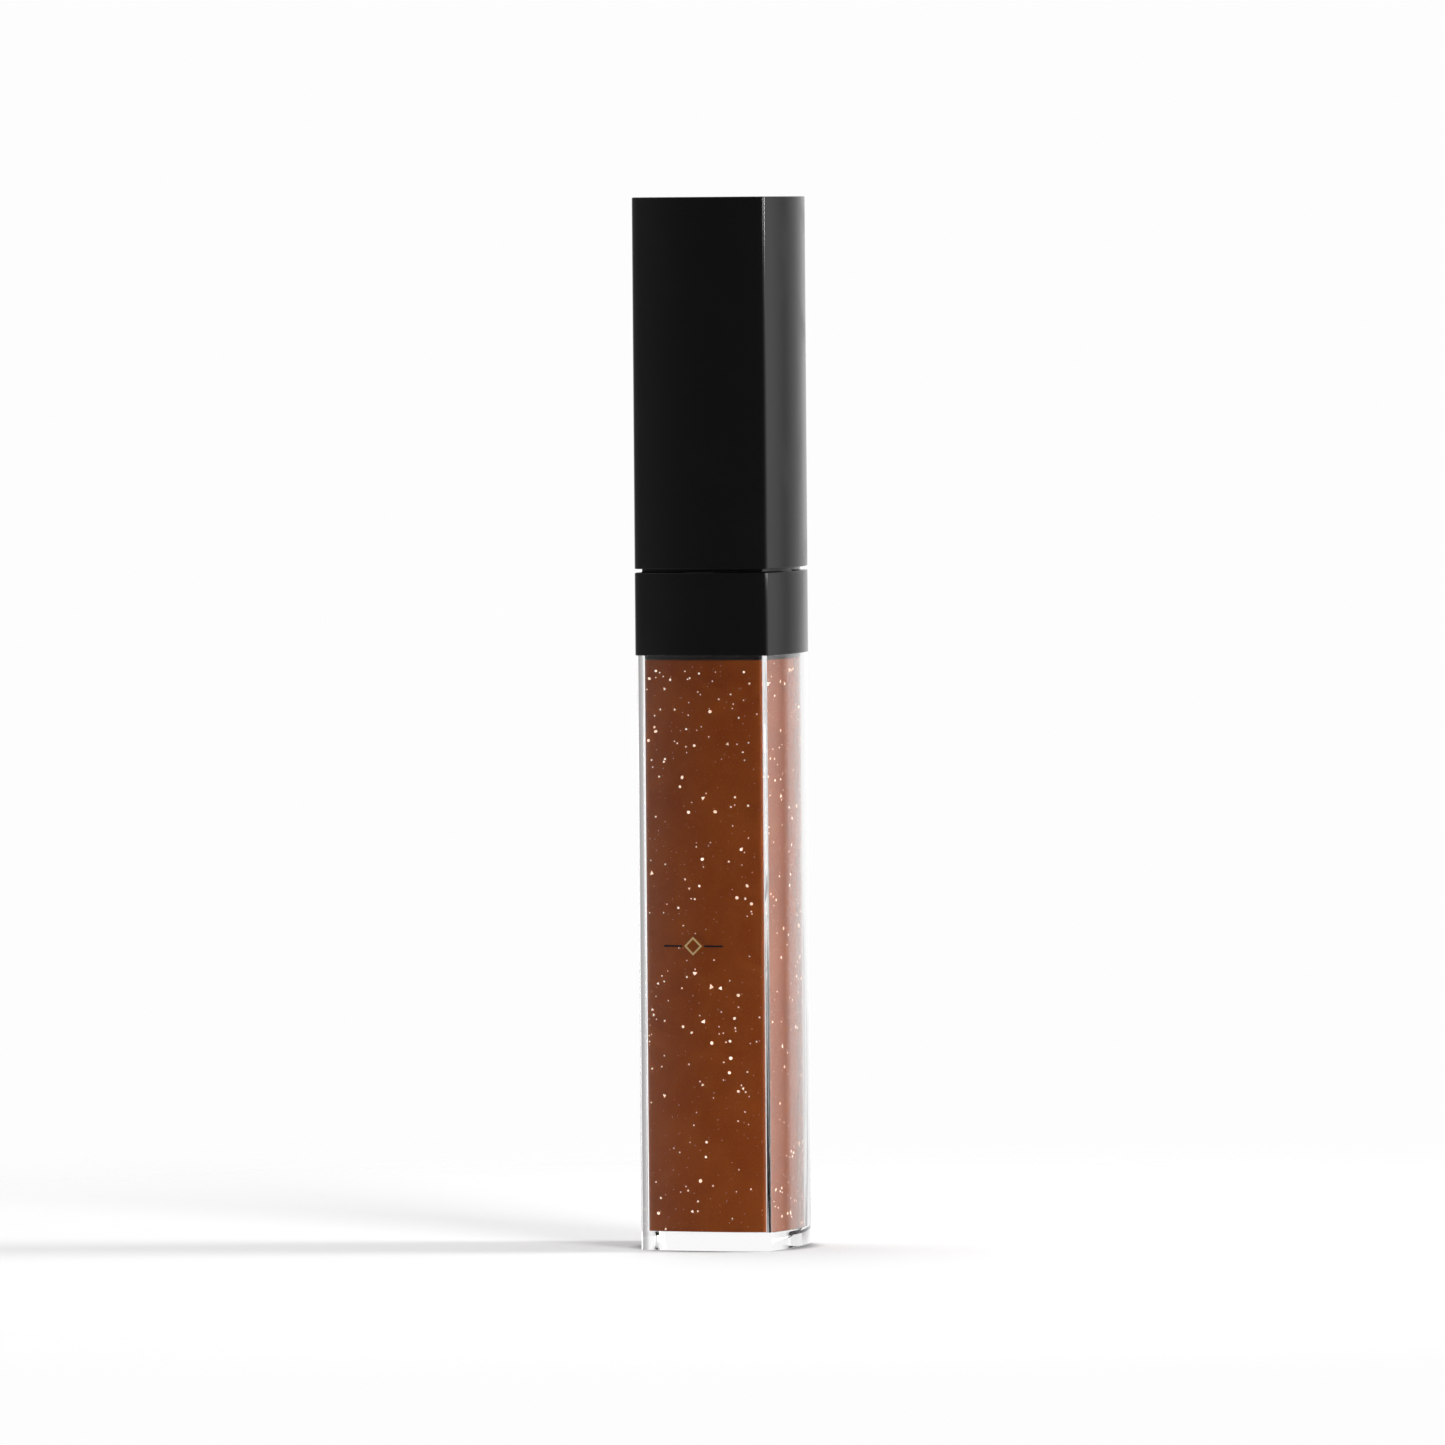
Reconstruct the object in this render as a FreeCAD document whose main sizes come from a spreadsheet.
import FreeCAD, Part

import math
import os

import Sketcher

# A square lip gloss tube with gently bulging faces: a clear bottle of gloss, a black collar that hides
# the bottle's mouth, and a tall black screw cap that carries the applicator wand.
# Millimetres. +Z is up, the origin is the middle of the base, and the faces look along X and Y.

doc = FreeCAD.newDocument("LipGlossTube")

# ---------------------------------------------------------------- sizes
DRIVING = [
    ("chord", 15.6, "corner to corner across one face of the cap and the collar"),
    ("bulge", 0.85, "how far each face bows out past its corners"),
    ("corner_round", 0.25, "rounding of the upright edges"),
    ("fit_gap", 0.03, "gap between pieces that are assembled for good"),
    ("bottle_height", 67.1, "clear height below the collar"),
    ("bottle_inset", 0.16, "the bottle's faces stand this far inside the collar's"),
    ("bottle_wall", 0.85, "wall of the bottle"),
    ("base_floor", 2.15, "thickness of the solid clear base"),
    ("collar_height", 9.35, "height of the black collar"),
    ("collar_wall", 0.5, "wall of the collar's skirt"),
    ("collar_plate", 1.2, "thickness of the collar's top"),
    ("seam_height", 0.4, "land that shows as the gap between the collar and the cap"),
    ("seam_inset", 0.8, "how far the land stands inside the faces"),
    ("cap_height", 41.85, "height of the cap"),
    ("cap_wall", 1.2, "wall of the cap"),
    ("cap_top", 1.5, "thickness of the cap's top"),
    ("plug_reach", 0.47, "the neck insert's plug shows this far below the collar"),
    ("plug_wall", 0.95, "wall of the plug"),
    ("flange_height", 1.2, "flange of the neck insert that sits on the bottle's mouth"),
    ("neck_bore", 3.5, "radius of the bore of the neck"),
    ("neck_wall", 0.9, "wall of the neck under its thread"),
    ("neck_height", 10.8, "height of the neck above its flange"),
    ("thread_depth", 0.5, "how far the thread stands out of the neck"),
    ("thread_gap", 0.1, "radial gap between the thread's crest and the other piece"),
    ("thread_lead", 2.5, "rise of the thread in one turn"),
    ("thread_turns", 1.5, "turns of the thread"),
    ("thread_foot", 1.1, "height of the thread's ridge at its foot"),
    ("thread_crest", 0.6, "height of the thread's ridge at its crest"),
    ("ridge_sink", 0.1, "how far a thread's ridge is sunk into the wall that it stands on"),
    ("thread_start", 1.75, "first turn of the neck's thread above the land"),
    ("wiper_wall", 0.55, "wall of the wiper"),
    ("wiper_length", 8.0, "straight part of the wiper below its flange"),
    ("wiper_flange", 0.6, "thickness of the wiper's flange"),
    ("wiper_step", 0.1, "how far the wiper's flange lies inside the neck's outer edge"),
    ("lip_length", 1.8, "height of the wiper's conical lip"),
    ("lip_edge", 0.3, "height of the lip's edge around the wand"),
    ("lip_gap", 0.05, "gap between the lip and the wand's stem"),
    ("gasket_height", 0.8, "thickness of the cap's gasket"),
    ("gasket_lap", 1.7, "width of the gasket's ring"),
    ("gasket_step", 0.05, "how far the gasket's outer edge lies inside the neck's"),
    ("skirt_wall", 0.8, "wall of the inner cap's threaded skirt"),
    ("skirt_gap", 0.15, "gap between the land and the inner cap's skirt"),
    ("web_height", 1.6, "floor of the inner cap, which the wand hangs from"),
    ("band_height", 1.0, "square bands that hold the inner cap in the shell"),
    ("boss_height", 6.0, "socket of the wand above the floor"),
    ("boss_wall", 1.1, "wall of the socket"),
    ("socket_roof", 0.8, "closed end of the socket"),
    ("stem_radius", 1.7, "radius of the wand's stem"),
    ("head_radius", 1.85, "radius of the stem's head in the socket"),
    ("barb_height", 0.25, "how far the head's barb stands out"),
    ("stop_lap", 0.7, "how far the wand's stop ring stands out of the stem"),
    ("pin_radius", 1.05, "radius of the tip's pin in the stem"),
    ("pin_length", 5.0, "length of the tip's pin"),
    ("tip_length", 13.0, "flocked length of the tip"),
    ("tip_step", 0.05, "how far the tip's core stands out of the stem"),
    ("tip_nose", 4.0, "length of the core's rounded nose"),
    ("tip_slant", 14.0, "angle of the tip's flat face from the upright, in degrees"),
    ("tip_face", 0.35, "how far the flat face's lower edge lies past the middle"),
    ("flock_height", 0.45, "height of the flocking"),
    ("tip_clearance", 2.6, "space below the tip"),
    ("channel_gap", 0.5, "room around the tip in the gloss"),
]

# Worked out from the driving sizes. Heights are measured from the base.
DERIVED = [
    ("face_radius", "(chord^2 / 4 + bulge^2) / (2 * bulge)"),
    ("face_centre", "face_radius - chord / 2 - bulge"),
    ("cavity_offset", "bottle_inset + bottle_wall"),
    ("spigot_offset", "collar_wall + fit_gap"),
    ("collar_top", "bottle_height + collar_height"),
    ("plate_bottom", "collar_top - collar_plate"),
    ("flange_top", "plate_bottom - fit_gap"),
    ("spigot_top", "flange_top - flange_height"),
    ("plug_bottom", "bottle_height - plug_reach"),
    ("gloss_top", "plug_bottom - fit_gap"),
    ("land_top", "collar_top + seam_height"),
    ("total_height", "land_top + cap_height"),
    ("neck_top", "flange_top + neck_height"),
    ("neck_radius", "neck_bore + neck_wall"),
    ("thread_middle", "land_top + thread_start"),
    ("cap_bore", "neck_radius + thread_depth + thread_gap"),
    ("skirt_radius", "cap_bore + skirt_wall"),
    ("wiper_radius", "neck_bore - fit_gap"),
    ("wiper_top", "neck_top + wiper_flange"),
    ("web_bottom", "wiper_top + gasket_height"),
    ("web_top", "web_bottom + web_height"),
    ("boss_top", "web_top + boss_height"),
    ("skirt_bottom", "land_top + skirt_gap"),
    ("gasket_radius", "neck_radius - gasket_step"),
    ("tip_radius", "stem_radius + tip_step"),
    ("tip_bottom", "base_floor + tip_clearance"),
    ("tip_top", "tip_bottom + tip_length"),
]

sheet = doc.addObject("Spreadsheet::Sheet", "Sizes")
row = 0
for alias, value, meaning in DRIVING:
    row += 1
    sheet.set(f"A{row}", alias)
    sheet.set(f"B{row}", str(value))
    sheet.setAlias(f"B{row}", alias)
    sheet.set(f"C{row}", meaning)
for alias, formula in DERIVED:
    row += 1
    sheet.set(f"A{row}", alias)
    sheet.set(f"B{row}", "=" + formula)
    sheet.setAlias(f"B{row}", alias)
doc.recompute()


WORDS = sorted((entry[0] for entry in DRIVING + DERIVED), key=len, reverse=True)


def bound(formula):
    """A formula in the sheet's words, as an expression that other objects can use."""
    text, place = "", 0
    while place < len(formula):
        word = next((w for w in WORDS if formula.startswith(w, place)), None)
        if word:
            text += "Sizes." + word
            place += len(word)
        else:
            text += formula[place]
            place += 1
    return text


def size(formula):
    """The present value of a formula in the sheet's words."""
    return float(sheet.evalExpression(bound(formula)))


# ---------------------------------------------------------------- sketches and features
def origin_plane(body, role):
    return next(f for f in body.Origin.OriginFeatures if f.Role == role)


def new_body(label):
    body = doc.addObject("PartDesign::Body", label + "_body")
    body.Label = label
    return body


def new_sketch(body, name, role="XY_Plane", height=None):
    sketch = body.newObject("Sketcher::SketchObject", name)
    sketch.AttachmentSupport = [(origin_plane(body, role), "")]
    sketch.MapMode = "FlatFace"
    if height:
        sketch.setExpression("AttachmentOffset.Base.z", bound(height))
    return sketch


def set_datum(sketch, constraint, name, formula):
    index = sketch.addConstraint(constraint)
    sketch.renameConstraint(index, name)
    sketch.setExpression("Constraints." + name, bound(formula))


def pillow_sketch(body, name, height, offset):
    """The bulging square at a height, drawn this far inside the cap's faces: four arcs that meet in corners."""
    sketch = new_sketch(body, name, height=height)
    radius_now = size(f"face_radius - ({offset})")
    centre_now = size("face_centre")
    corner = (math.sqrt(2 * radius_now**2 - centre_now**2) - centre_now) / 2
    half_turn = math.atan2(corner, corner + centre_now)
    for side in range(4):
        facing = side * math.pi / 2
        middle = FreeCAD.Vector(-centre_now * math.cos(facing), -centre_now * math.sin(facing), 0)
        circle = Part.Circle(middle, FreeCAD.Vector(0, 0, 1), radius_now)
        sketch.addGeometry(Part.ArcOfCircle(circle, facing - half_turn, facing + half_turn), False)
    for side in range(4):
        sketch.addConstraint(Sketcher.Constraint("Coincident", side, 2, (side + 1) % 4, 1))
        sketch.addConstraint(Sketcher.Constraint("PointOnObject", side, 3, -1 if side % 2 == 0 else -2))
        reach = Sketcher.Constraint("Distance", side, 3, -1, 1, centre_now)
        set_datum(sketch, reach, f"centre_{side}", "face_centre")
        bow = Sketcher.Constraint("Radius", side, radius_now)
        set_datum(sketch, bow, f"radius_{side}", f"face_radius - ({offset})")
    return sketch


def circle_sketch(body, name, height, radius):
    sketch = new_sketch(body, name, height=height)
    middle = FreeCAD.Vector(0, 0, 0)
    sketch.addGeometry(Part.Circle(middle, FreeCAD.Vector(0, 0, 1), size(radius)), False)
    sketch.addConstraint(Sketcher.Constraint("Coincident", 0, 3, -1, 1))
    set_datum(sketch, Sketcher.Constraint("Radius", 0, size(radius)), "radius", radius)
    return sketch


def outline_sketch(body, name, points):
    """A closed outline in the XZ plane. Each point is a pair of formulas: distance from the axis, height."""
    sketch = new_sketch(body, name, role="XZ_Plane")
    spots = [FreeCAD.Vector(size(across), size(up), 0) for across, up in points]
    count = len(spots)
    for n in range(count):
        sketch.addGeometry(Part.LineSegment(spots[n], spots[(n + 1) % count]), False)
    for n in range(count):
        sketch.addConstraint(Sketcher.Constraint("Coincident", n, 2, (n + 1) % count, 1))
    for n, (across, up) in enumerate(points):
        if across == "0":
            sketch.addConstraint(Sketcher.Constraint("PointOnObject", n, 1, -2))
        else:
            reach = Sketcher.Constraint("DistanceX", -1, 1, n, 1, spots[n].x)
            set_datum(sketch, reach, f"across_{n}", across)
        rise = Sketcher.Constraint("DistanceY", -1, 1, n, 1, spots[n].y)
        set_datum(sketch, rise, f"up_{n}", up)
    return sketch


def pad(body, sketch, length):
    feature = body.newObject("PartDesign::Pad", "Pad")
    feature.Profile = sketch
    feature.setExpression("Length", bound(length))
    return feature


def pocket(body, sketch, depth):
    """Cuts upward from the sketch."""
    feature = body.newObject("PartDesign::Pocket", "Pocket")
    feature.Profile = sketch
    feature.Reversed = True
    feature.setExpression("Length", bound(depth))
    return feature


def revolve(body, sketch):
    feature = body.newObject("PartDesign::Revolution", "Revolution")
    feature.Profile = sketch
    feature.ReferenceAxis = (sketch, ["V_Axis"])
    feature.Angle = 360
    return feature


def helix(body, sketch):
    """A right-hand ridge of the thread's lead and turns."""
    feature = body.newObject("PartDesign::AdditiveHelix", "Thread")
    feature.Profile = sketch
    feature.ReferenceAxis = (sketch, ["V_Axis"])
    feature.Mode = "pitch-turns-angle"
    feature.setExpression("Pitch", bound("thread_lead"))
    feature.setExpression("Turns", bound("thread_turns"))
    return feature


def round_edges(body, radius, chosen):
    """Rounds the edges of the body that a test of the edge's two ends picks out."""
    doc.recompute()
    base = body.Tip
    names = []
    for n, edge in enumerate(base.Shape.Edges, 1):
        if len(edge.Vertexes) == 2 and chosen(edge.Vertexes[0].Point, edge.Vertexes[1].Point):
            names.append(f"Edge{n}")
    feature = body.newObject("PartDesign::Fillet", "Fillet")
    feature.Base = (base, names)
    feature.setExpression("Radius", bound(radius))
    body.Tip = feature
    return feature


NEAR = 1e-4


def upright(offset, lowest, highest):
    """Tests for the upright edges at the corners of the bulging square at this offset."""
    reach = size(f"face_radius - ({offset})")
    centre = size("face_centre")
    corner = (math.sqrt(2 * reach**2 - centre**2) - centre) / 2
    low, high = size(lowest), size(highest)

    def test(a, b):
        leans = abs(a.x - b.x) > NEAR or abs(a.y - b.y) > NEAR
        off_corner = abs(abs(a.x) - corner) > NEAR or abs(abs(a.y) - corner) > NEAR
        return not leans and not off_corner and min(a.z, b.z) > low - NEAR and max(a.z, b.z) < high + NEAR

    return test


# ---------------------------------------------------------------- bottle
def make_bottle():
    """Clear open-topped bottle: thick base, straight walls, and a thinner mouth that the collar slips over."""
    body = new_body("bottle")
    pad(body, pillow_sketch(body, "BottleOutline", "0", "bottle_inset"), "bottle_height")
    mouth = pillow_sketch(body, "MouthOutline", "bottle_height", "spigot_offset")
    pad(body, mouth, "spigot_top - bottle_height")
    cavity = pillow_sketch(body, "CavityOutline", "base_floor", "cavity_offset")
    pocket(body, cavity, "spigot_top - base_floor")
    round_edges(body, "corner_round", upright("bottle_inset", "0", "bottle_height"))
    return body


# ---------------------------------------------------------------- gloss
def make_gloss():
    """The fill, up to the plug, with the channel in which the wand hangs."""
    body = new_body("gloss")
    pad(body, pillow_sketch(body, "FillOutline", "base_floor", "cavity_offset"), "gloss_top - base_floor")
    channel_radius = "tip_radius + flock_height + channel_gap"
    channel = circle_sketch(body, "WandChannel", "tip_bottom - channel_gap", channel_radius)
    pocket(body, channel, "gloss_top - tip_bottom + channel_gap")
    return body


# ---------------------------------------------------------------- neck insert
def ridge(body, name, foot_radius, crest_radius, middle):
    """Cross-section of a thread's ridge, sunk a little into the wall that it stands on."""
    return outline_sketch(
        body,
        name,
        [
            (foot_radius, f"{middle} - thread_foot / 2"),
            (crest_radius, f"{middle} - thread_crest / 2"),
            (crest_radius, f"{middle} + thread_crest / 2"),
            (foot_radius, f"{middle} + thread_foot / 2"),
        ],
    )


def make_neck_insert():
    """Black insert: a square plug in the bottle's mouth, a flange on its rim, and the threaded neck."""
    body = new_body("neck_insert")
    plug = pillow_sketch(body, "PlugOutline", "plug_bottom", "cavity_offset + fit_gap")
    pad(body, plug, "spigot_top - plug_bottom")
    flange = pillow_sketch(body, "FlangeOutline", "spigot_top", "spigot_offset")
    pad(body, flange, "flange_height")
    pad(body, circle_sketch(body, "NeckOutline", "flange_top", "neck_radius"), "neck_height")
    hollow = pillow_sketch(body, "PlugHollow", "plug_bottom", "cavity_offset + fit_gap + plug_wall")
    pocket(body, hollow, "spigot_top - plug_bottom")
    bore = circle_sketch(body, "NeckBore", "spigot_top", "neck_bore")
    pocket(body, bore, "neck_top - spigot_top")
    foot, crest = "neck_radius - ridge_sink", "neck_radius + thread_depth"
    helix(body, ridge(body, "NeckThread", foot, crest, "thread_middle"))
    return body


# ---------------------------------------------------------------- collar
def make_collar():
    """Black sleeve over the bottle's mouth, with the raised land that the cap closes on."""
    body = new_body("collar")
    pad(body, pillow_sketch(body, "CollarOutline", "bottle_height", "0"), "collar_height")
    pad(body, pillow_sketch(body, "LandOutline", "collar_top", "seam_inset"), "seam_height")
    inside = pillow_sketch(body, "SkirtInside", "bottle_height", "collar_wall")
    pocket(body, inside, "plate_bottom - bottle_height")
    opening = circle_sketch(body, "NeckOpening", "plate_bottom", "neck_radius + fit_gap")
    pocket(body, opening, "land_top - plate_bottom")
    round_edges(body, "corner_round", upright("0", "bottle_height", "collar_top"))
    return body


# ---------------------------------------------------------------- wiper
def make_wiper():
    """Soft wiper pressed into the neck: a flange, a sleeve, and a cone whose lip strips the wand."""
    body = new_body("wiper")
    inside = "wiper_radius - wiper_wall"
    shoulder = "neck_top - wiper_length"
    edge = f"{shoulder} - lip_length"
    lip = "stem_radius + lip_gap"
    outline = outline_sketch(
        body,
        "WiperOutline",
        [
            (inside, "wiper_top"),
            (inside, shoulder),
            (lip, f"{edge} + lip_edge"),
            (lip, edge),
            (f"{lip} + lip_edge", edge),
            ("wiper_radius", f"{shoulder} - lip_edge"),
            ("wiper_radius", "neck_top"),
            ("neck_radius - wiper_step", "neck_top"),
            ("neck_radius - wiper_step", "wiper_top"),
        ],
    )
    revolve(body, outline)
    return body


# ---------------------------------------------------------------- cap
def make_cap_shell():
    """Tall black shell of the cap, closed at the top."""
    body = new_body("cap_shell")
    pad(body, pillow_sketch(body, "ShellOutline", "land_top", "0"), "cap_height")
    pocket(body, pillow_sketch(body, "ShellInside", "land_top", "cap_wall"), "cap_height - cap_top")
    round_edges(body, "corner_round", upright("0", "land_top", "total_height"))
    return body


def make_inner_cap():
    """Liner inside the shell: threaded skirt, square bands, floor and socket for the wand."""
    body = new_body("inner_cap")
    pad(body, circle_sketch(body, "SkirtOutline", "skirt_bottom", "skirt_radius"), "web_top - skirt_bottom")
    for name, foot in (("LowerBand", "skirt_bottom"), ("UpperBand", "web_top - band_height")):
        pad(body, pillow_sketch(body, name, foot, "cap_wall + fit_gap"), "band_height")
    pad(body, circle_sketch(body, "BossOutline", "web_top", "head_radius + barb_height + boss_wall"), "boss_height")
    pocket(body, circle_sketch(body, "SkirtBore", "skirt_bottom", "cap_bore"), "web_bottom - skirt_bottom")
    pocket(body, circle_sketch(body, "StemHole", "web_bottom", "head_radius + fit_gap"), "web_height")
    socket = circle_sketch(body, "Socket", "web_top", "head_radius + barb_height + fit_gap")
    pocket(body, socket, "boss_height - socket_roof")
    crest = "neck_radius + thread_gap"
    helix(body, ridge(body, "CapThread", "cap_bore + ridge_sink", crest, "thread_middle + thread_lead / 2"))
    return body


def make_cap_gasket():
    """Foam ring between the inner cap's floor and the wiper's flange."""
    body = new_body("cap_gasket")
    ring = [
        ("gasket_radius - gasket_lap", "wiper_top"),
        ("gasket_radius", "wiper_top"),
        ("gasket_radius", "web_bottom"),
        ("gasket_radius - gasket_lap", "web_bottom"),
    ]
    revolve(body, outline_sketch(body, "GasketOutline", ring))
    return body


# ---------------------------------------------------------------- wand
def make_rod():
    """The wand: a barbed head, a stop ring under the floor, the stem, and a hole for the tip's pin."""
    body = new_body("rod")
    head_top = "boss_top - socket_roof - fit_gap"
    barb = "head_radius + barb_height"
    pin_hole = "pin_radius + fit_gap"
    outline = outline_sketch(
        body,
        "RodOutline",
        [
            ("0", head_top),
            ("0", "tip_top + pin_length + fit_gap"),
            (pin_hole, "tip_top + pin_length + fit_gap"),
            (pin_hole, "tip_top + fit_gap"),
            ("stem_radius", "tip_top + fit_gap"),
            ("stem_radius", "web_bottom - gasket_height"),
            ("stem_radius + stop_lap", "web_bottom - gasket_height"),
            ("stem_radius + stop_lap", "web_bottom - fit_gap"),
            ("head_radius", "web_bottom - fit_gap"),
            ("head_radius", "web_top + fit_gap"),
            (barb, "web_top + fit_gap + barb_height"),
            ("head_radius - barb_height", head_top),
        ],
    )
    revolve(body, outline)
    return body


def doe_foot(name, grow):
    """A round nosed tip with one slanted flat face, this much larger all round than the plastic core."""
    barrel = doc.addObject("Part::Cylinder", name + "Barrel")
    barrel.setExpression("Radius", bound(f"tip_radius + {grow}"))
    barrel.setExpression("Height", bound(f"tip_length - tip_nose - flock_height"))
    barrel.setExpression("Placement.Base.z", bound("tip_bottom + tip_nose + flock_height"))
    nose = doc.addObject("Part::Ellipsoid", name + "Nose")
    nose.setExpression("Radius1", bound(f"tip_nose + {grow}"))
    nose.setExpression("Radius2", bound(f"tip_radius + {grow}"))
    nose.Radius3 = 0
    nose.setExpression("Placement.Base.z", bound("tip_bottom + tip_nose + flock_height"))
    blunt = doc.addObject("Part::Fuse", name + "Blunt")
    blunt.Base = barrel
    blunt.Tool = nose
    block = doc.addObject("Part::Box", name + "Block")
    for side in ("Length", "Width", "Height"):
        block.setExpression(side, bound("tip_length * 2"))
    block.Placement = FreeCAD.Placement(FreeCAD.Vector(0, 0, 0), FreeCAD.Rotation(180, 0, -size("tip_slant")))
    block.setExpression("Placement.Base.x", bound("tip_length"))
    past_middle = f"tip_face - ({grow}) / cos(tip_slant * 1deg)"
    block.setExpression("Placement.Base.y", bound(f"{past_middle} + tip_length / 2 * sin(tip_slant * 1deg)"))
    below_nose = "tip_length / 2 * cos(tip_slant * 1deg)"
    block.setExpression("Placement.Base.z", bound(f"tip_bottom + flock_height - {below_nose}"))
    foot = doc.addObject("Part::Cut", name + "Foot")
    foot.Base = blunt
    foot.Tool = block
    return foot


def make_tip():
    """Applicator tip: a plastic core with a pin in the stem, and the flocking around it."""
    core_foot = doe_foot("Core", "0")
    pin = doc.addObject("Part::Cylinder", "TipPin")
    pin.setExpression("Radius", bound("pin_radius"))
    pin.setExpression("Height", bound("pin_length"))
    pin.setExpression("Placement.Base.z", bound("tip_top"))
    core = doc.addObject("Part::Fuse", "TipCore")
    core.Base = core_foot
    core.Tool = pin
    core.Label = "tip_core"
    flock = doc.addObject("Part::Cut", "TipFlock")
    flock.Base = doe_foot("Flock", "flock_height")
    flock.Tool = doe_foot("Hollow", "0")
    flock.Label = "tip_flock"
    return [core, flock]


subparts = [
    make_bottle(),
    make_gloss(),
    make_neck_insert(),
    make_collar(),
    make_wiper(),
    make_cap_shell(),
    make_inner_cap(),
    make_cap_gasket(),
    make_rod(),
    *make_tip(),
]
doc.recompute()

# ---------------------------------------------------------------- checks, then the files
for item in doc.Objects:
    if "Invalid" in item.State or "Error" in item.State:
        raise RuntimeError(f"{item.Name} failed: {item.State}")
for item in subparts:
    if item.Shape.isNull() or not item.Shape.isValid():
        raise RuntimeError(f"{item.Label} has no valid shape")

os.makedirs("parts", exist_ok=True)
for item in subparts:
    item.Shape.exportStep(os.path.join("parts", item.Label + ".step"))
    box = item.Shape.BoundBox
    print(
        f"{item.Label:12s} solids {len(item.Shape.Solids)}  volume {item.Shape.Volume:9.2f} mm3"
        f"  x {box.XMin:6.2f}..{box.XMax:5.2f}  z {box.ZMin:6.2f}..{box.ZMax:6.2f}"
    )
